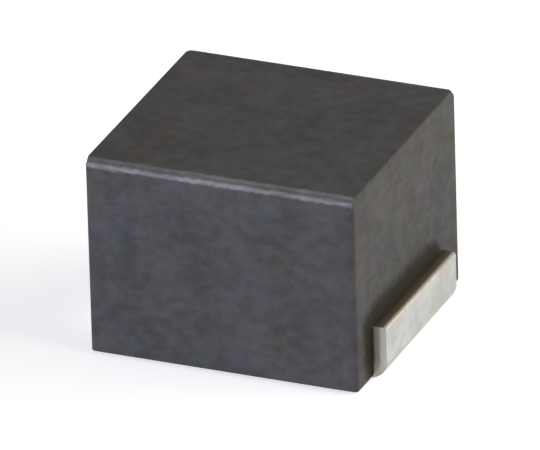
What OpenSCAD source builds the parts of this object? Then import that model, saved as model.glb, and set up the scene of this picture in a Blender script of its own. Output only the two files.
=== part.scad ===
// Shielded surface-mount inductor: a wound core inside a pressed magnetic block,
// standing on two bent terminal strips.
// X runs from terminal to terminal and +Z is up. The origin is on the board, midway between the terminals.

/* [Shield body] */
// Length between the two end faces
body_l = 4.0; // [3.9:0.05:5]
// Width across the long faces
body_w = 3.8; // [3.5:0.05:4.6]
// Height of the block
body_h = 2.96; // [2.8:0.01:3.6]
// Leg of the chamfer along the two long top edges
edge_chamfer = 0.075; // [0.04:0.005:0.2]
// Compound left under the core's flange
base_wall = 0.40; // [0.3:0.01:0.5]

/* [Core] */
// Diameter of the post inside the winding
post_d = 1.6; // [1.3:0.05:1.7]
// Thickness of the flange under the winding
flange_t = 0.35; // [0.25:0.01:0.45]
// Width of the flange across the body
flange_w = 3.0; // [2.6:0.05:3.2]

/* [Coil] */
// Diameter of the enamelled wire
wire_d = 0.22; // [0.16:0.01:0.24]
// Whole turns in each of the two layers
layer_turns = 5; // [3:1:5]
// Air between neighbouring turns and between the layers
turn_gap = 0.02; // [0.02:0.005:0.03]

/* [Terminals] */
// Thickness of the strip
sheet_t = 0.20; // [0.15:0.01:0.22]
// Width of the strip
terminal_w = 2.6; // [2.4:0.02:3.1]
// Height of the end plate above the board
plate_h = 0.79; // [0.6:0.01:1.2]
// Length of the foot under the body, measured from the end face
foot_l = 0.95; // [0.9:0.01:1.0]
// Inside radius of both bends
bend_r = 0.08; // [0.04:0.01:0.12]
// How far the feet stand below the block
foot_drop = 0.05; // [0.03:0.01:0.08]
// Width of each forked ear that takes a wire end
ear_w = 0.42; // [0.4:0.01:0.5]

/* [Fits] */
// Space that the compound leaves around the winding
coil_gap = 0.04; // [0.03:0.005:0.05]
// Space between parts that are set beside each other
part_gap = 0.02; // [0.01:0.005:0.03]
// Length of wire past the ear
wire_end = 0.14; // [0.1:0.01:0.18]
// Reach of the solder around the wire
solder_r = 0.17; // [0.15:0.01:0.2]

/* [Hidden] */

wire_sides = 10;
steps_per_turn = 24;
lead_steps = 14;
round_fn = 96;
cut_over = 0.5;

// Heights above the board
body_z = foot_drop;
body_top = body_z + body_h;
flange_z = body_z + base_wall;
flange_top = flange_z + flange_t;

// Winding: both layers share one pitch, and the wire centre starts just above the flange
wire_r = wire_d / 2;
pitch = wire_d + turn_gap;
inner_r = post_d / 2 + coil_gap + wire_r;
outer_r = inner_r + pitch;
coil_or = outer_r + wire_r;
coil_z = flange_top + part_gap + wire_r;
inner_turns = layer_turns + 0.25;
cross_turns = 0.5;
outer_turns = inner_turns - 1;
total_turns = inner_turns + cross_turns + outer_turns;
layer_top = coil_z + inner_turns * pitch;
cross_rise = cross_turns * pitch / 4;
chamber_top = layer_top + cross_rise + wire_r + coil_gap;
start_angle = 90;

// Terminals: one bend turns the end plate under the body, the other turns the strip up into it
end_x = body_l / 2;
tab_x = end_x - foot_l;
bend_out = bend_r + sheet_t;
tab_top = flange_top - part_gap - wire_r;
ear_y = (inner_r + outer_r) / 2;
ear_top = coil_z + wire_r + turn_gap;
notch_w = wire_d + turn_gap;
lead_x = tab_x + sheet_t + wire_end;

// A point at radius r and angle a, on the plane z
function on_circle(r, a, z) = [r * cos(a), r * sin(a), z];
function smooth(s) = s * s * (3 - 2 * s);
function mix(a, b, s) = a + (b - a) * s;

// Centre line of the winding after t turns: up the inner layer, over, and down the outer layer
function cross_part(t) = (t - inner_turns) / cross_turns;
function layer_r(t) =
    t < inner_turns ? inner_r
    : t > inner_turns + cross_turns ? outer_r
    : mix(inner_r, outer_r, smooth(cross_part(t)));
function layer_z(t) =
    t < inner_turns ? coil_z + t * pitch
    : t > inner_turns + cross_turns ? layer_top - (t - inner_turns - cross_turns) * pitch
    : layer_top + 4 * cross_rise * cross_part(t) * (1 - cross_part(t));
function turn_point(t) = on_circle(layer_r(t), start_angle + 360 * t, layer_z(t));

// A lead runs out along X in an S-bend, from one end of the winding to its ear
function lead_point(side, from_y, from_z, s) =
    let (k = smooth(min(1, s * lead_x / tab_x)))
    [side * s * lead_x, mix(from_y, ear_y, k), mix(from_z, coil_z, k)];

wire_path = concat(
    [for (i = [lead_steps : -1 : 1]) lead_point(1, inner_r, layer_z(0), i / lead_steps)],
    [for (i = [0 : total_turns * steps_per_turn]) turn_point(i / steps_per_turn)],
    [for (i = [1 : lead_steps]) lead_point(-1, outer_r, layer_z(total_turns), i / lead_steps)]
);

function unit(v) = v / norm(v);
function path_dir(p, i) = unit(p[min(i + 1, len(p) - 1)] - p[max(i - 1, 0)]);
// The ring stands square to the path, with one axis kept as near to vertical as it can be
function ring(c, d, r, n) =
    let (side = unit(cross(d, [0, 0, 1])), up = cross(side, d))
    [for (k = [0 : n - 1]) c + r * (cos(360 * k / n) * side + sin(360 * k / n) * up)];

module swept_wire(path, r, n) {
    rings = len(path);
    points = [for (i = [0 : rings - 1]) each ring(path[i], path_dir(path, i), r, n)];
    start_cap = [[for (k = [0 : n - 1]) k]];
    end_cap = [[for (k = [n - 1 : -1 : 0]) (rings - 1) * n + k]];
    skin = [for (i = [0 : rings - 2], k = [0 : n - 1])
        let (a = i * n + k, b = i * n + (k + 1) % n)
        [a, a + n, b + n, b]];
    polyhedron(points, concat(start_cap, skin, end_cap), convexity = 12);
}

// Everything is drawn on the right and turned over for the left, so both ends are the same strip
module mirrored_left() {
    mirror([1, 0, 0]) children();
}

// Draws a profile in X and Z, as wide as w across the body
module across(w) {
    rotate([90, 0, 0]) linear_extrude(w, center = true) children();
}

// Lower quarter of a bent strip around cx and cz, on the side that x_side names
module quarter_bend(cx, cz, x_side) {
    translate([cx, cz]) intersection() {
        difference() {
            circle(bend_out, $fn = round_fn);
            circle(bend_r, $fn = round_fn);
        }
        translate([x_side < 0 ? -bend_out : 0, -bend_out]) square(bend_out);
    }
}

// Side view of the strip: end plate, bend, foot, bend
module strip_profile() {
    translate([end_x, bend_out]) square([sheet_t, plate_h - bend_out]);
    quarter_bend(end_x - bend_r, bend_out, 1);
    translate([tab_x + bend_out, 0]) square([foot_l - bend_out - bend_r, sheet_t]);
    quarter_bend(tab_x + bend_out, bend_out, -1);
}

// Upright tab seen along X: a low bar with a forked ear at each end
module tab_outline(grow) {
    translate([-terminal_w / 2 - grow, bend_out]) square([terminal_w + 2 * grow, tab_top - bend_out + grow]);
    for (s = [-1, 1])
        translate([s * ear_y - ear_w / 2 - grow, bend_out])
            square([ear_w + 2 * grow, ear_top - bend_out + grow]);
}

module upright(x, t) {
    translate([x, 0, 0]) rotate([90, 0, 90]) linear_extrude(t) children();
}

module terminal() {
    across(terminal_w) strip_profile();
    upright(tab_x, sheet_t) difference() {
        tab_outline(0);
        for (s = [-1, 1])
            translate([s * ear_y - notch_w / 2, coil_z - notch_w / 2])
                square([notch_w, notch_w + cut_over]);
    }
}

// The block keeps a tongue above each foot, rounded to pass inside both bends
module tongue_profile() {
    translate([tab_x + sheet_t, sheet_t + bend_r]) square([foot_l - sheet_t, body_h]);
    translate([tab_x + sheet_t + bend_r, sheet_t]) square([foot_l - sheet_t - 2 * bend_r, body_h]);
    for (x = [tab_x + sheet_t + bend_r, end_x - bend_r])
        translate([x, sheet_t + bend_r]) circle(bend_r, $fn = round_fn);
}

module foot_recess() {
    across(terminal_w + 2 * part_gap) difference() {
        translate([tab_x - part_gap, 0]) square([foot_l + part_gap + cut_over, bend_out]);
        tongue_profile();
    }
}

// Space inside the block on one side: the slot for the upright tab, and the foot's recess
module terminal_space() {
    foot_recess();
    upright(tab_x - part_gap, sheet_t + part_gap) tab_outline(part_gap);
}

module block() {
    rotate([90, 0, 90]) linear_extrude(body_l, center = true)
        polygon([
            [-body_w / 2, body_z],
            [body_w / 2, body_z],
            [body_w / 2, body_top - edge_chamfer],
            [body_w / 2 - edge_chamfer, body_top],
            [-body_w / 2 + edge_chamfer, body_top],
            [-body_w / 2, body_top - edge_chamfer]
        ]);
}

// Room for the two leads, along the side of the winding where they leave it
module lead_channel() {
    reach = lead_x + part_gap;
    low_y = ear_y - solder_r - part_gap;
    high_y = max(coil_or, ear_y + solder_r) + part_gap;
    high_z = coil_z + pitch + wire_r + coil_gap;
    translate([-reach, low_y, flange_top]) cube([2 * reach, high_y - low_y, high_z - flange_top]);
}

module solder_space() {
    translate([tab_x + sheet_t, ear_y, coil_z]) rotate([0, 90, 0])
        cylinder(r = solder_r + part_gap, h = wire_end + part_gap, $fn = round_fn);
}

module shield_body() {
    color("#4b4b4e") difference() {
        block();
        translate([0, 0, flange_top])
            cylinder(r = coil_or + coil_gap, h = chamber_top - flange_top, $fn = round_fn);
        translate([-tab_x, -flange_w / 2 - part_gap, flange_z])
            cube([2 * tab_x, flange_w + 2 * part_gap, flange_t]);
        lead_channel();
        for (s = [0, 1]) mirror([s, 0, 0]) {
            terminal_space();
            solder_space();
        }
    }
}

module core() {
    color("#5a5550") {
        translate([-tab_x + part_gap, -flange_w / 2, flange_z])
            cube([2 * (tab_x - part_gap), flange_w, flange_t]);
        translate([0, 0, flange_z])
            cylinder(d = post_d, h = chamber_top - flange_z, $fn = round_fn);
    }
}

module coil() {
    color("#b8622e") swept_wire(wire_path, wire_r, wire_sides);
}

module terminal_right() {
    color("#c9c8c2") terminal();
}

module terminal_left() {
    color("#c9c8c2") mirrored_left() terminal();
}

// A collar of solder, wide at the ear and thin at the tip of the wire
module solder_joint() {
    bore_r = wire_r + turn_gap / 4;
    tip = wire_end - part_gap;
    translate([tab_x + sheet_t, ear_y, coil_z]) rotate([0, 90, 0]) rotate_extrude($fn = round_fn)
        difference() {
            translate([bore_r, 0]) square([solder_r - bore_r, tip]);
            translate([solder_r, tip]) circle(solder_r - bore_r - part_gap, $fn = round_fn);
        }
}

module solder_joint_right() {
    color("#a9aaad") solder_joint();
}

module solder_joint_left() {
    color("#a9aaad") mirrored_left() solder_joint();
}

shield_body();
core();
coil();
terminal_left();
terminal_right();
solder_joint_left();
solder_joint_right();
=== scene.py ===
import math

import bmesh
import bpy
from mathutils import Matrix, Vector


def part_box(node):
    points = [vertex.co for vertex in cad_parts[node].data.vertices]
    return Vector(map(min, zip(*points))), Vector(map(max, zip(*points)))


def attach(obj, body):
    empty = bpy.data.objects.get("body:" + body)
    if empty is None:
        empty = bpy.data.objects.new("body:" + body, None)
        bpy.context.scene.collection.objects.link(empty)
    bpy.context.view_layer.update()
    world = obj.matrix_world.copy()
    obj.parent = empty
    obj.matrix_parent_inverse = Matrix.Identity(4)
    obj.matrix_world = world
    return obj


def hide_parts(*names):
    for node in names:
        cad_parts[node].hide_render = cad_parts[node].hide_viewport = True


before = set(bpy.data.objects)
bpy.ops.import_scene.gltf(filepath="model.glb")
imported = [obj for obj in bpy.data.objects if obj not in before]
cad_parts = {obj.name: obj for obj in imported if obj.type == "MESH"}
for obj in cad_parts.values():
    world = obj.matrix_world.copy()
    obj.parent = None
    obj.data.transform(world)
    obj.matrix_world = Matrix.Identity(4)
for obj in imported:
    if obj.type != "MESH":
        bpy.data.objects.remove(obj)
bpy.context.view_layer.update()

# ---------------------------------------------------------------------------
# Shield block
# Iron-alloy powder and resin, pressed round the wound core and baked hard.
# The die leaves a chamfer along both long top edges. The bright bands along the chamfers are partly edges
# rubbed by handling and partly painted highlight.
# ---------------------------------------------------------------------------
# Sizes are in millimetres and angles in degrees. Each finished piece is scaled to metres.
MM = 0.001
corner_round = 0.065
corner_steps = 8
corner_least_angle = 60
edge_round = 0.022
edge_steps = 3
edge_least_angle = 20
chamfer_leg = 0.075
blunting = 0.016
blunt_reach = 6 * blunting
blunt_cuts = 6

# A point within on_plane of a cut lies on it, points within weld_gap are one point, places within a
# hair are level, and a point within touch of a face lies on it
on_plane = 0.00001
weld_gap = 0.0005
hair = 0.001
touch = 0.002

# Faces that meet within flat_angle are one face, and an edge sharper than crease_angle is a crease.
# An edge is upright where the vertical part of its direction is more than steep.
flat_angle = 1
crease_angle = 40
steep = 0.6

block_low, block_high = (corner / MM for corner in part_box("shield_body"))
block_end = block_high.x
block_side = block_high.y
block_top = block_high.z


def joined_mesh(name):
    """A part's mesh in millimetres, with its loose triangles joined and its flat faces made whole."""
    shape = bmesh.new()
    shape.from_mesh(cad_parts[name].data)
    bmesh.ops.scale(shape, vec=(1 / MM, 1 / MM, 1 / MM), verts=shape.verts)
    bmesh.ops.remove_doubles(shape, verts=shape.verts, dist=weld_gap)
    bmesh.ops.dissolve_limit(shape, angle_limit=math.radians(flat_angle), verts=shape.verts,
                             edges=shape.edges)
    return shape


def finished_piece(shape, name, materials):
    """Turns a working mesh in millimetres into a piece in metres, smooth over its small radii."""
    bmesh.ops.scale(shape, vec=(MM, MM, MM), verts=shape.verts)
    for face in shape.faces:
        face.smooth = True
    for edge in shape.edges:
        if len(edge.link_faces) == 2:
            edge.smooth = edge.calc_face_angle(0) < math.radians(crease_angle) and not edge.seam
            edge.seam = False
    mesh = bpy.data.meshes.new(name)
    shape.to_mesh(mesh)
    shape.free()
    piece = bpy.data.objects.new(name, mesh)
    bpy.context.scene.collection.objects.link(piece)
    for material in materials:
        mesh.materials.append(material)
    weighted = piece.modifiers.new("even_normals", "WEIGHTED_NORMAL")
    weighted.keep_sharp = True
    weighted.weight = 100
    return piece


def outside_faces(shape):
    """The faces that lie on the convex outside of a mesh, so not those of recesses and hollows."""
    points = [v.co.copy() for v in shape.verts]
    found = set()
    for face in shape.faces:
        centre, normal = face.calc_center_median(), face.normal
        if max((p - centre).dot(normal) for p in points) < touch:
            found.add(face)
    return found


def outer_edges(shape, least_angle, upright):
    """The sharp edges of the outside, either the four upright ones or all the others."""
    skin = outside_faces(shape)
    found = []
    for edge in shape.edges:
        if len(edge.link_faces) != 2 or not all(face in skin for face in edge.link_faces):
            continue
        along = (edge.verts[1].co - edge.verts[0].co).normalized()
        sharp = edge.calc_face_angle(0) > math.radians(least_angle)
        if sharp and (abs(along.z) > steep) == upright:
            found.append(edge)
    return found


def round_edges(shape, edges, radius, steps):
    bmesh.ops.bevel(shape, geom=edges, offset=radius, offset_type="OFFSET", segments=steps, profile=0.5,
                    affect="EDGES", clamp_overlap=False, material=-1)


def cut_across(shape, faces, axis, place):
    """Cuts faces by a plane that stands at right angles to an axis, without taking anything away."""
    normal = Vector([float(axis == a) for a in range(3)])
    edges = dict.fromkeys(e for f in faces for e in f.edges)
    verts = dict.fromkeys(v for f in faces for v in f.verts)
    bmesh.ops.bisect_plane(shape, geom=[*faces, *edges, *verts], dist=on_plane,
                           plane_co=normal * place, plane_no=normal)


def blunt_corners(shape):
    """Cuts the faces round the four top corners into small squares, and presses those in."""
    zone = chamfer_leg + blunt_reach
    for axis, place, sides in ((0, block_end, (-1, 1)), (1, block_side, (-1, 1)), (2, block_top, (1,))):
        for side in sides:
            cut_across(shape, list(shape.faces), axis, side * (place - zone))
    corners = [Vector((x, y, block_top)) for x in (-block_end, block_end) for y in (-block_side, block_side)]
    for cut in range(1, blunt_cuts):
        for corner in corners:
            for axis in range(3):
                near = [f for f in shape.faces if all(
                    abs(v.co[a] - corner[a]) < zone + hair for v in f.verts for a in range(3))]
                inwards = math.copysign(zone * cut / blunt_cuts, corner[axis])
                cut_across(shape, near, axis, corner[axis] - inwards)
    bmesh.ops.remove_doubles(shape, verts=shape.verts, dist=hair)
    for v in shape.verts:
        inset = block_end - abs(v.co.x) + block_side - abs(v.co.y) + block_top - v.co.z
        depth = 1 - (inset - chamfer_leg) / blunt_reach
        if depth > 0:
            way = Vector((-math.copysign(1, v.co.x), -math.copysign(1, v.co.y), -1))
            bmesh.ops.translate(shape, vec=way * blunting * depth ** 2, verts=[v])


def new_finish(name):
    """An empty material, with its node tree and its surface shader."""
    finish = bpy.data.materials.new(name)
    finish.use_nodes = True
    tree = finish.node_tree
    return finish, tree, tree.nodes["Principled BSDF"]


def new_node(tree, kind, **settings):
    made = tree.nodes.new(kind)
    for key, value in settings.items():
        setattr(made, key, value)
    return made


def feed(tree, value, socket):
    """Gives a socket a number, a colour, or what another socket puts out."""
    if isinstance(value, bpy.types.NodeSocket):
        tree.links.new(value, socket)
    elif isinstance(value, tuple):
        socket.default_value = (*value, 1)
    else:
        socket.default_value = value


def place_on(tree):
    """The three Object coordinates of a point, in millimetres."""
    spot = new_node(tree, "ShaderNodeTexCoord")
    split = new_node(tree, "ShaderNodeSeparateXYZ")
    feed(tree, spot.outputs["Object"], split.inputs[0])
    return [maths(tree, "DIVIDE", split.outputs[axis], MM) for axis in "XYZ"]


def noise(tree, size, detail, rough, stretch=(1, 1, 1)):
    """Noise in Object coordinates, with features of about size, closer together along a stretched axis."""
    spot = new_node(tree, "ShaderNodeTexCoord")
    stretched = new_node(tree, "ShaderNodeMapping")
    stretched.inputs["Scale"].default_value = stretch
    feed(tree, spot.outputs["Object"], stretched.inputs["Vector"])
    made = new_node(tree, "ShaderNodeTexNoise")
    feed(tree, stretched.outputs["Vector"], made.inputs["Vector"])
    feed(tree, 1 / (size * MM), made.inputs["Scale"])
    feed(tree, detail, made.inputs["Detail"])
    feed(tree, rough, made.inputs["Roughness"])
    return made.outputs["Fac"]


def maths(tree, operation, *values, clamp=False):
    made = new_node(tree, "ShaderNodeMath", operation=operation, use_clamp=clamp)
    for value, socket in zip(values, made.inputs):
        feed(tree, value, socket)
    return made.outputs[0]


def times(tree, a, b):
    return maths(tree, "MULTIPLY", a, b)


def total(tree, first, *others):
    for other in others:
        first = maths(tree, "ADD", first, other)
    return first


def length_of(tree, a, b):
    return maths(tree, "SQRT", total(tree, times(tree, a, a), times(tree, b, b)))


def ramp(tree, value, low, high, to_low=0.0, to_high=1.0, smooth=True):
    """Maps value from low..high to to_low..to_high, held at both ends."""
    made = new_node(tree, "ShaderNodeMapRange", interpolation_type="SMOOTHSTEP" if smooth else "LINEAR")
    feed(tree, value, made.inputs["Value"])
    for key, number in (("From Min", low), ("From Max", high), ("To Min", to_low), ("To Max", to_high)):
        feed(tree, number, made.inputs[key])
    return made.outputs["Result"]


def wander(tree, source, reach):
    """A noise value made to swing about zero, by about reach each way."""
    return times(tree, maths(tree, "SUBTRACT", source, 0.5), 4 * reach)


def mix_colours(tree, share, first, second, how="MIX"):
    """Goes from the first colour to the second as share goes from 0 to 1."""
    made = new_node(tree, "ShaderNodeMix", data_type="RGBA", blend_type=how)
    feed(tree, share, made.inputs["Factor"])
    ends = [socket for socket in made.inputs if socket.type == "RGBA"]
    for value, socket in zip((first, second), ends):
        feed(tree, value, socket)
    return [socket for socket in made.outputs if socket.type == "RGBA"][0]


def tinted(tree, colour, tint):
    return mix_colours(tree, 1.0, colour, tint, "MULTIPLY")


def bump(tree, shader, height, distance, strength):
    made = new_node(tree, "ShaderNodeBump")
    feed(tree, strength, made.inputs["Strength"])
    feed(tree, distance * MM, made.inputs["Distance"])
    feed(tree, height, made.inputs["Height"])
    feed(tree, made.outputs["Normal"], shader.inputs["Normal"])


grain_share = 0.15
cloud_share = 0.39
patch_share = 0.46
powder_dark = (0.0503, 0.0488, 0.0480)
powder_light = (0.0760, 0.0770, 0.0776)


def powder_colour(tree, grain):
    """Dark grey in fine grain, wide clouds and small patches, with a faint drift of red and of blue."""
    clouds = noise(tree, size=0.7, detail=2, rough=0.5)
    patches = noise(tree, size=0.15, detail=2, rough=0.45, stretch=(0.7, 0.7, 1))
    tone = total(tree, times(tree, grain, grain_share), times(tree, clouds, cloud_share),
                 times(tree, patches, patch_share))
    powder = mix_colours(tree, ramp(tree, tone, 0.32, 0.68), powder_dark, powder_light)
    drift = new_node(tree, "ShaderNodeCombineColor")
    feed(tree, 1.0, drift.inputs["Green"])
    for channel, size, stretch, spread in (("Red", 0.8, (1, 1, 1), 0.05), ("Blue", 0.6, (1, 1, 1.3), 0.06)):
        source = noise(tree, size=size, detail=4, rough=0.68, stretch=stretch)
        feed(tree, ramp(tree, source, 0.38, 0.62, 1 - spread, 1 + spread), drift.inputs[channel])
    return tinted(tree, powder, drift.outputs["Color"])


# The end plate, round which a shadow is painted on the block. Heights are above the board.
plate_low, plate_high = (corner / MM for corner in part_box("terminal_right"))
strip_half = plate_high.y
plate_top = 0.79
shadow_full = 0.20
shadow_reach = 0.50
shadow_fray = 0.07
shadow_halo_strength = 0.11
painted_shadow_colour = (0.0125, 0.0095, 0.0055)


def painted_end_shadow(tree):
    """Painted shadow round an end plate: dark beside the plate, then fading to a faint halo."""
    x, y, z = place_on(tree)
    beside = maths(tree, "MAXIMUM", maths(tree, "SUBTRACT", maths(tree, "ABSOLUTE", y), strip_half), 0.0)
    above = maths(tree, "MAXIMUM", maths(tree, "SUBTRACT", z, plate_top), 0.0)
    ragged = wander(tree, noise(tree, size=0.25, detail=3, rough=0.55), shadow_fray)
    # The painted shadow narrows towards the board, thins towards the back, and ends before the far end of the
    # plate, as if cast by a light low at the right and behind
    narrowing = ramp(tree, z, 0.05, 0.5, 0.15, 0.0)
    thinning = ramp(tree, y, 0.55, 1.0, 0.0, 0.08)
    ending = ramp(tree, y, 1.0, 1.42, 0.0, 0.52)
    away = total(tree, length_of(tree, times(tree, beside, 0.95), above), ragged, narrowing, thinning, ending)
    painted_shadow = ramp(tree, away, shadow_full, shadow_reach, 1.0, 0.0)
    shadow_halo = ramp(tree, away, shadow_reach - 0.1, 2 * shadow_reach, shadow_halo_strength, 0.0)
    on_end = ramp(tree, maths(tree, "ABSOLUTE", x), block_end - 0.03, block_end - 0.01)
    return times(tree, maths(tree, "MAXIMUM", painted_shadow, shadow_halo), on_end)


# Bands along a chamfer, partly rubbed wear and partly painted highlight: place inwards and downwards from the
# block's edge in chamfer legs, reach to either side, and strength at the left and at the right
rub_and_highlight_bands = (
    (0.0, 1.0, 0.061, 0.98, 0.86),
    (1.0, 0.0, 0.055, 0.46, 0.58),
    (0.5, 0.5, 0.110, 0.24, 0.24),
)
bands_left = -1.0
bands_right = 1.5
bands_solid = 0.1
bands_fray = 0.38
rub_and_highlight_strength = 0.72
rubbed_and_lit_colour = (0.305, 0.305, 0.300)


def edge_wear_and_highlight(tree):
    """The bright bands along the chamfers, partly rubbed wear and partly painted highlight, frayed by flecks
    and stronger in some stretches.
    """
    x, y, z = place_on(tree)
    flecks = noise(tree, size=0.042, detail=3, rough=0.6, stretch=(0.35, 1, 1))
    rubbed_and_lit = 0.0
    for inwards, downwards, reach, left, right in rub_and_highlight_bands:
        edge_y = block_side - inwards * chamfer_leg
        edge_z = block_top - downwards * chamfer_leg
        away = length_of(tree, maths(tree, "SUBTRACT", maths(tree, "ABSOLUTE", y), edge_y),
                         maths(tree, "SUBTRACT", z, edge_z))
        away = total(tree, away, wander(tree, flecks, bands_fray * reach))
        band = ramp(tree, away, bands_solid * reach, reach, 1.0, 0.0)
        band = times(tree, band, ramp(tree, x, bands_left, bands_right, left, right))
        rubbed_and_lit = maths(tree, "MAXIMUM", band, rubbed_and_lit)
    stretches = ramp(tree, noise(tree, size=0.45, detail=2, rough=0.5), 0.35, 0.62, 0.62, 1.0)
    return times(tree, times(tree, rubbed_and_lit, stretches), rub_and_highlight_strength)


def pressed_compound():
    finish, tree, shader = new_finish("pressed_compound")
    grain = noise(tree, size=0.035, detail=3, rough=0.6)
    # Painted shadow of each end plate, in dark brown, laid over the powder colour
    surface = mix_colours(tree, painted_end_shadow(tree), powder_colour(tree, grain), painted_shadow_colour)
    # Bright bands along the chamfers: partly rubbed wear, partly painted highlight
    surface = mix_colours(tree, edge_wear_and_highlight(tree), surface, rubbed_and_lit_colour)
    feed(tree, surface, shader.inputs["Base Color"])
    feed(tree, ramp(tree, grain, 0.3, 0.7, 0.82, 0.66), shader.inputs["Roughness"])
    feed(tree, 0.12, shader.inputs["Specular IOR Level"])
    bump(tree, shader, grain, distance=0.006, strength=0.24)
    return finish


block_mesh = joined_mesh("shield_body")
round_edges(block_mesh, outer_edges(block_mesh, corner_least_angle, upright=True), corner_round, corner_steps)
round_edges(block_mesh, outer_edges(block_mesh, edge_least_angle, upright=False), edge_round, edge_steps)
blunt_corners(block_mesh)

compound = pressed_compound()
block = finished_piece(block_mesh, "shield_block", [compound])
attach(block, "root")
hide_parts("shield_body")

# ---------------------------------------------------------------------------
# Terminals
# Each is one strip of tin-plated copper alloy, cut from a lead frame and bent twice.
# Its long sides were sheared and plated; its end was cut last, so the bare alloy shows there.
# ---------------------------------------------------------------------------
strip_end = plate_high.x
sheet = strip_end - block_end
plate_inner = strip_end - sheet
tab_outer = plate_low.x
tab_inner = tab_outer + sheet
tab_top = 0.67

# Both bends turn round an axis across the strip, given in x and z
bend_inside = 0.08
bend_outside = bend_inside + sheet
bend_steps = 14
low_bend = (plate_inner - bend_inside, bend_outside)
high_bend = (tab_outer + bend_outside, bend_outside)

# The tab's two forked ears
ear_middle = 1.07
ear_width = 0.42
ear_top = plate_high.z
notch_width = 0.24
notch_floor = 0.81

# The plate's end is cut a little off square, and the tools roll over the outer edges
cut_slant = 0.013
cut_roll = 0.045
cut_roll_steps = 6
side_roll = 0.015
side_roll_steps = 4
square_on = 0.9999
face_up = 0.97
outermost = 0.9

# Places of the three finishes in the strip's list of materials
TIN, SHEARED, BARE = range(3)


def push(shape, faces, move, keep=False):
    """Extrudes faces along move, and returns the faces at the far end."""
    out = bmesh.ops.extrude_face_region(shape, geom=faces, use_keep_orig=keep)["geom"]
    bmesh.ops.translate(shape, vec=move, verts=[g for g in out if isinstance(g, bmesh.types.BMVert)])
    left = [f for f in faces if f.is_valid and not keep]
    bmesh.ops.delete(shape, geom=left, context="FACES")
    return [g for g in out if isinstance(g, bmesh.types.BMFace)]


def bend(shape, faces, centre):
    """Turns the end of the strip a quarter round a bend's axis."""
    out = bmesh.ops.spin(shape, geom=faces, cent=(centre[0], 0, centre[1]), axis=(0, 1, 0), dvec=(0, 0, 0),
                         angle=math.radians(90), steps=bend_steps, use_merge=False, use_duplicate=False)
    bmesh.ops.delete(shape, geom=[f for f in faces if f.is_valid], context="FACES")
    return [g for g in out["geom_last"] if isinstance(g, bmesh.types.BMFace)]


def bent_strip():
    """The right-hand strip, from its cut end down the plate, under the block and up its tab."""
    shape = bmesh.new()
    outline = ((plate_inner, -strip_half), (strip_end, -strip_half),
               (strip_end, strip_half), (plate_inner, strip_half))
    end = [shape.faces.new([shape.verts.new((x, y, plate_top)) for x, y in outline])]
    end = push(shape, end, (0, 0, bend_outside - plate_top), keep=True)
    end = bend(shape, end, low_bend)
    end = push(shape, end, (high_bend[0] - low_bend[0], 0, 0))
    end = bend(shape, end, high_bend)
    push(shape, end, (0, 0, tab_top - bend_outside))
    return shape


def raise_ears(shape):
    """Raises the two ears from the tab's top, each with a notch in which a wire end lies."""
    for side in (-1, 1):
        for offset in (-ear_width / 2, -notch_width / 2, notch_width / 2, ear_width / 2):
            tab = [f for f in shape.faces if f.calc_center_median().x < tab_inner + touch
                   and f.calc_center_median().z > bend_outside]
            cut_across(shape, tab, 1, side * ear_middle + offset)
    tops = [f for f in shape.faces if all(abs(v.co.z - tab_top) < hair for v in f.verts)]
    ears = [f for f in tops if abs(abs(f.calc_center_median().y) - ear_middle) < ear_width / 2]
    ears = push(shape, ears, (0, 0, notch_floor - tab_top))
    prongs = [f for f in ears if abs(abs(f.calc_center_median().y) - ear_middle) > notch_width / 2]
    push(shape, prongs, (0, 0, ear_top - notch_floor))
    bmesh.ops.recalc_face_normals(shape, faces=shape.faces)


def through_sheet(x, z):
    """How far through the sheet a point lies: 0 on the side towards the block, 1 on the outer side."""
    if z >= bend_outside:
        return (x - plate_inner) / sheet if x > low_bend[0] else (tab_inner - x) / sheet
    if x > low_bend[0]:
        return (math.hypot(x - low_bend[0], z - low_bend[1]) - bend_inside) / sheet
    if x < high_bend[0]:
        return (math.hypot(x - high_bend[0], z - high_bend[1]) - bend_inside) / sheet
    return (sheet - z) / sheet


def roll_edges(shape):
    """Rolls over the outer edge of the cut end, then those of both long sides."""
    cut_edge = [e for e in shape.edges if all(
        (v.co - Vector((strip_end, v.co.y, plate_top))).length < hair for v in e.verts)]
    round_edges(shape, cut_edge, cut_roll, cut_roll_steps)
    sheared_edges = []
    for edge in shape.edges:
        middle = (edge.verts[0].co + edge.verts[1].co) / 2
        on_side = sum(abs(f.normal.y) > square_on for f in edge.link_faces) == 1
        outer = through_sheet(middle.x, middle.z) > outermost or middle.z > plate_top - cut_roll
        level = abs(middle.z - plate_top) < hair
        if on_side and outer and not level and middle.x > high_bend[0]:
            sheared_edges.append(edge)
    round_edges(shape, sheared_edges, side_roll, side_roll_steps)


def mark_finishes(shape):
    """Gives the sheared sides and the cut end their own finishes, with a sharp line round each side."""
    for face in shape.faces:
        at_cut = abs(face.calc_center_median().z - plate_top) < touch
        if abs(face.normal.y) > square_on:
            face.material_index = SHEARED
        elif face.normal.z > face_up and at_cut:
            face.material_index = BARE
        else:
            face.material_index = TIN
    for edge in shape.edges:
        edge.seam = len({face.material_index == SHEARED for face in edge.link_faces}) == 2


def slant_cut(shape):
    """Leans the cut end across the strip."""
    lean = Matrix.Identity(4)
    lean[2][1] = -cut_slant
    near_cut = [v for v in shape.verts
                if v.co.x > plate_inner - hair and v.co.z > plate_top - cut_roll - hair]
    bmesh.ops.transform(shape, matrix=lean, verts=near_cut)


def depth_of(tree):
    """How far through the sheet a point of the plate, its bend or its foot lies, from inside to outside."""
    x, y, z = place_on(tree)
    outwards = maths(tree, "MAXIMUM", maths(tree, "SUBTRACT", maths(tree, "ABSOLUTE", x), low_bend[0]), 0.0)
    downwards = maths(tree, "MINIMUM", maths(tree, "SUBTRACT", z, low_bend[1]), 0.0)
    return ramp(tree, length_of(tree, outwards, downwards), bend_inside, bend_outside, smooth=False)


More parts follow.
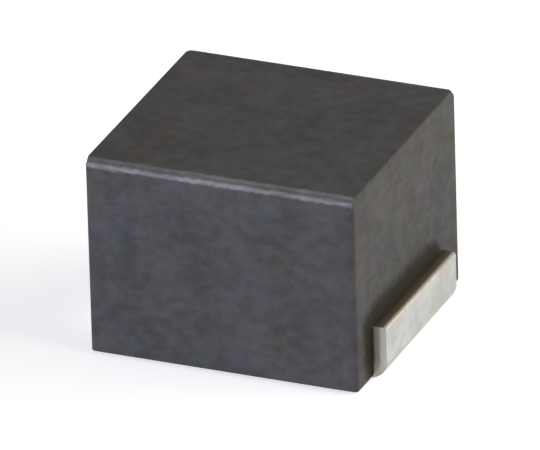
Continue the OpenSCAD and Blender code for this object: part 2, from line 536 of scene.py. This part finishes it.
tin_cool = (0.389, 0.401, 0.396)
tin_warm = (0.425, 0.404, 0.366)
tin_blush = (0.445, 0.412, 0.380)
tin_bloom = (0.372, 0.410, 0.382)
tin_speck = (0.35, 0.345, 0.32)
tin_shaded_roll = (0.24, 0.220, 0.185)
patina_dark = (0.927, 0.917, 0.90)
patina_light = (1.093, 1.103, 1.125)


def matte_tin():
    """Matte tin plating, warmer towards the cut, with soft patches, specks and painted shade along the rolled
    edge at the cut.
    """
    finish, tree, shader = new_finish("matte_tin")
    x, y, z = place_on(tree)
    haze = noise(tree, size=0.4, detail=3, rough=0.55)
    fine = noise(tree, size=0.03, detail=2, rough=0.6)
    blush = noise(tree, size=0.16, detail=3, rough=0.6)
    bloom = noise(tree, size=0.32, detail=2, rough=0.5)
    specks = noise(tree, size=0.06, detail=2, rough=0.6)
    patina = noise(tree, size=0.48, detail=5, rough=0.69)
    warmth = maths(tree, "ADD", ramp(tree, z, 0.42, 0.78, 0.0, 0.75), ramp(tree, haze, 0.35, 0.65, -0.3, 0.4),
                   clamp=True)
    colour = mix_colours(tree, warmth, tin_cool, tin_warm)
    colour = mix_colours(tree, ramp(tree, blush, 0.48, 0.7, 0.0, 0.5), colour, tin_blush)
    colour = mix_colours(tree, ramp(tree, bloom, 0.48, 0.66, 0.0, 0.7), colour, tin_bloom)
    colour = mix_colours(tree, ramp(tree, specks, 0.5, 0.75, 0.0, 0.35), colour, tin_speck)
    patina = mix_colours(tree, ramp(tree, patina, 0.38, 0.62), patina_dark, patina_light)
    colour = tinted(tree, colour, patina)
    # Painted shade on the rolled top edge, which damps its highlight
    height = total(tree, z, times(tree, y, cut_slant), wander(tree, blush, 0.012))
    colour = mix_colours(tree, ramp(tree, height, plate_top - 0.05, plate_top - 0.012), colour, tin_shaded_roll)
    feed(tree, colour, shader.inputs["Base Color"])
    feed(tree, 0.9, shader.inputs["Metallic"])
    feed(tree, ramp(tree, haze, 0.3, 0.7, 0.50, 0.62), shader.inputs["Roughness"])
    relief = total(tree, times(tree, haze, 0.8), times(tree, fine, 0.2))
    bump(tree, shader, relief, distance=0.02, strength=0.25)
    return finish


side_broken = (0.33, 0.325, 0.255)
side_drawn = (0.54, 0.545, 0.455)
side_innermost_shade = (0.185, 0.170, 0.130)
side_torn = (0.41, 0.38, 0.32)
side_rolled = (0.20, 0.19, 0.15)


def sheared_side():
    """A sheared side: broken and dark towards the block, with painted shade along its edge against the block,
    drawn smooth outside, and torn low in the bend.
    """
    finish, tree, shader = new_finish("sheared_side")
    x, y, z = place_on(tree)
    lines = noise(tree, size=0.12, detail=3, rough=0.6, stretch=(1, 1, 0.25))
    depth = total(tree, depth_of(tree), wander(tree, lines, 0.05))
    torn = total(tree, z, wander(tree, noise(tree, size=0.05, detail=3, rough=0.6), 0.06))
    colour = mix_colours(tree, ramp(tree, depth, 0.40, 0.60), side_broken, side_drawn)
    # Painted shade along the side's innermost edge, where it meets the block
    colour = mix_colours(tree, ramp(tree, depth, 0.0, 0.22), side_innermost_shade, colour)
    colour = mix_colours(tree, ramp(tree, torn, 0.10, 0.34, 0.75, 0.0), colour, side_torn)
    colour = mix_colours(tree, ramp(tree, depth, 0.86, 0.94, 0.0, 0.6), colour, side_rolled)
    feed(tree, colour, shader.inputs["Base Color"])
    feed(tree, 0.8, shader.inputs["Metallic"])
    feed(tree, 0.55, shader.inputs["Roughness"])
    bump(tree, shader, lines, distance=0.01, strength=0.4)
    return finish


shaded_alloy_inner = (0.040, 0.027, 0.013)
shaded_alloy_middle = (0.092, 0.066, 0.034)
alloy_outer = (0.47, 0.437, 0.375)


def bare_cut_end():
    """Bare brown alloy, with painted shade that makes it dark and darkest against the block, and with tin
    drawn over its outer edge by the cut.
    """
    finish, tree, shader = new_finish("bare_cut_end")
    mottle = noise(tree, size=0.08, detail=3, rough=0.6)
    depth = total(tree, depth_of(tree), wander(tree, mottle, 0.06))
    # Painted shade: the bare alloy is made dark, and darkest where it meets the block
    colour = mix_colours(tree, ramp(tree, depth, 0.05, 0.6), shaded_alloy_inner, shaded_alloy_middle)
    colour = mix_colours(tree, ramp(tree, depth, 0.6, 0.95), colour, alloy_outer)
    feed(tree, colour, shader.inputs["Base Color"])
    feed(tree, 0.6, shader.inputs["Metallic"])
    feed(tree, 0.6, shader.inputs["Roughness"])
    bump(tree, shader, mottle, distance=0.01, strength=0.5)
    return finish


tin = matte_tin()
strip_finishes = [tin, sheared_side(), bare_cut_end()]
for side, name in ((1, "terminal_right"), (-1, "terminal_left")):
    strip = bent_strip()
    raise_ears(strip)
    roll_edges(strip)
    mark_finishes(strip)
    slant_cut(strip)
    if side < 0:
        bmesh.ops.scale(strip, vec=(-1, 1, 1), verts=strip.verts)
        bmesh.ops.reverse_faces(strip, faces=strip.faces)
    piece = finished_piece(strip, name.replace("terminal", "strip"), strip_finishes)
    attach(piece, "root")
    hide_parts(name)

# ---------------------------------------------------------------------------
# Core, winding and solder joints
# These are sealed in the block and don't show. The core is sintered ferrite, the wire is
# enamelled copper, and each wire end is soldered in the fork of a terminal.
# ---------------------------------------------------------------------------
ferrite_dark = (0.045, 0.043, 0.042)
ferrite_light = (0.075, 0.072, 0.07)
enamel_dark = (0.40, 0.11, 0.035)
enamel_light = (0.56, 0.19, 0.06)
solder_dark = (0.42, 0.42, 0.44)
solder_light = (0.60, 0.60, 0.62)


def sintered_ferrite():
    finish, tree, shader = new_finish("sintered_ferrite")
    crystals = noise(tree, size=0.02, detail=3, rough=0.6)
    feed(tree, mix_colours(tree, crystals, ferrite_dark, ferrite_light), shader.inputs["Base Color"])
    feed(tree, ramp(tree, crystals, 0.3, 0.7, 0.75, 0.6), shader.inputs["Roughness"])
    bump(tree, shader, crystals, distance=0.004, strength=0.4)
    return finish


def enamelled_wire():
    finish, tree, shader = new_finish("enamelled_wire")
    shade = noise(tree, size=0.3, detail=2, rough=0.5)
    feed(tree, mix_colours(tree, shade, enamel_dark, enamel_light), shader.inputs["Base Color"])
    feed(tree, 0.85, shader.inputs["Metallic"])
    feed(tree, ramp(tree, shade, 0.3, 0.7, 0.2, 0.32), shader.inputs["Roughness"])
    feed(tree, 0.6, shader.inputs["Coat Weight"])
    feed(tree, 0.15, shader.inputs["Coat Roughness"])
    return finish


def frosted_solder():
    finish, tree, shader = new_finish("frosted_solder")
    frost = noise(tree, size=0.03, detail=3, rough=0.6)
    feed(tree, mix_colours(tree, frost, solder_dark, solder_light), shader.inputs["Base Color"])
    feed(tree, 1.0, shader.inputs["Metallic"])
    feed(tree, ramp(tree, frost, 0.3, 0.7, 0.25, 0.5), shader.inputs["Roughness"])
    bump(tree, shader, frost, distance=0.006, strength=0.4)
    return finish


solder = frosted_solder()
part_finishes = {
    "core": sintered_ferrite(),
    "coil": enamelled_wire(),
    "solder_joint_left": solder,
    "solder_joint_right": solder,
    # The block and the strips stand for these three, which get the same finish as they have
    "shield_body": compound,
    "terminal_left": tin,
    "terminal_right": tin,
}
for name, finish in part_finishes.items():
    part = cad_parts[name]
    part.data.materials.clear()
    part.data.materials.append(finish)

# ---------------------------------------------------------------------------
# Floor and surroundings
# A pale sheet that runs far past the view, in a plain white room. Both are at full white where
# they are seen, directly or by reflection, and light the part much less.
# ---------------------------------------------------------------------------
floor_half = 600
floor_glow = 0.55
room_light = 0.120
room_tint = (1.0, 0.82, 0.62)
white = (1.0, 1.0, 1.0)


def seen_rays(tree):
    """1 for rays that see a surface from the camera, in a reflection or through glass, and 0 for others."""
    rays = new_node(tree, "ShaderNodeLightPath")
    direct = maths(tree, "ADD", rays.outputs["Is Camera Ray"], rays.outputs["Is Glossy Ray"])
    return maths(tree, "ADD", direct, rays.outputs["Is Transmission Ray"], clamp=True)


def floor_paper():
    finish, tree, shader = new_finish("floor_paper")
    feed(tree, (0.86, 0.86, 0.86), shader.inputs["Base Color"])
    feed(tree, 1.0, shader.inputs["Roughness"])
    feed(tree, 0.0, shader.inputs["Specular IOR Level"])
    glow = new_node(tree, "ShaderNodeEmission")
    feed(tree, times(tree, seen_rays(tree), floor_glow), glow.inputs["Strength"])
    both = new_node(tree, "ShaderNodeAddShader")
    feed(tree, shader.outputs[0], both.inputs[0])
    feed(tree, glow.outputs[0], both.inputs[1])
    feed(tree, both.outputs[0], tree.nodes["Material Output"].inputs["Surface"])
    return finish


floor_mesh = bmesh.new()
bmesh.ops.create_grid(floor_mesh, x_segments=1, y_segments=1, size=floor_half * MM)
floor_data = bpy.data.meshes.new("floor")
floor_mesh.to_mesh(floor_data)
floor_mesh.free()
floor_data.materials.append(floor_paper())
floor = bpy.data.objects.new("floor", floor_data)
bpy.context.scene.collection.objects.link(floor)

room = bpy.data.worlds.new("white_room")
bpy.context.scene.world = room
room.use_nodes = True
tree = room.node_tree
air = tree.nodes["Background"]
seen = seen_rays(tree)
feed(tree, ramp(tree, seen, 0.0, 1.0, room_light, 1.0, smooth=False), air.inputs["Strength"])
feed(tree, mix_colours(tree, seen, room_tint, white), air.inputs["Color"])

# ---------------------------------------------------------------------------
# Lamps
# A wide soft box in front and to the left, and another on the right, a little behind the part.
# ---------------------------------------------------------------------------
part_middle = Vector((0, 0, 1.5))


def soft_box(name, azimuth, elevation, distance, width, height, power, colour):
    """A lamp at azimuth degrees from the front towards the right, and elevation degrees up."""
    lamp = bpy.data.lights.new(name, "AREA")
    lamp.shape = "RECTANGLE"
    lamp.size = width * MM
    lamp.size_y = height * MM
    lamp.energy = power
    lamp.color = colour
    holder = bpy.data.objects.new(name, lamp)
    turn, lift = math.radians(azimuth), math.radians(elevation)
    way = Vector((math.sin(turn) * math.cos(lift), -math.cos(turn) * math.cos(lift), math.sin(lift)))
    holder.location = (part_middle + way * distance) * MM
    holder.rotation_euler = way.to_track_quat("Z", "Y").to_euler()
    bpy.context.scene.collection.objects.link(holder)


soft_box("front_box", azimuth=-28, elevation=4.8, distance=45, width=70, height=40, power=0.0449,
         colour=(0.77, 0.80, 0.99))
soft_box("right_box", azimuth=112, elevation=13.3, distance=35, width=60, height=50, power=0.0311,
         colour=(1.0, 0.965, 0.90))

# ---------------------------------------------------------------------------
# Camera
# A long lens, 23 degrees round from the front towards the right and 26 degrees up.
# ---------------------------------------------------------------------------
focal_length = 1148.9
sensor_width = 36
camera_place = Vector((84.0322, -197.9462, 106.5722 + block_low.z))
camera_turn = (63.92620, 1.50157, 22.27974)

lens = bpy.data.cameras.new("camera")
lens.lens = focal_length
lens.sensor_width = sensor_width
lens.sensor_fit = "HORIZONTAL"
lens.clip_start = 0.01
lens.clip_end = 5
camera = bpy.data.objects.new("camera", lens)
camera.location = camera_place * MM
camera.rotation_euler = [math.radians(angle) for angle in camera_turn]
bpy.context.scene.collection.objects.link(camera)
bpy.context.scene.camera = camera
bpy.context.scene.view_settings.view_transform = "Standard"

bpy.context.view_layer.update()
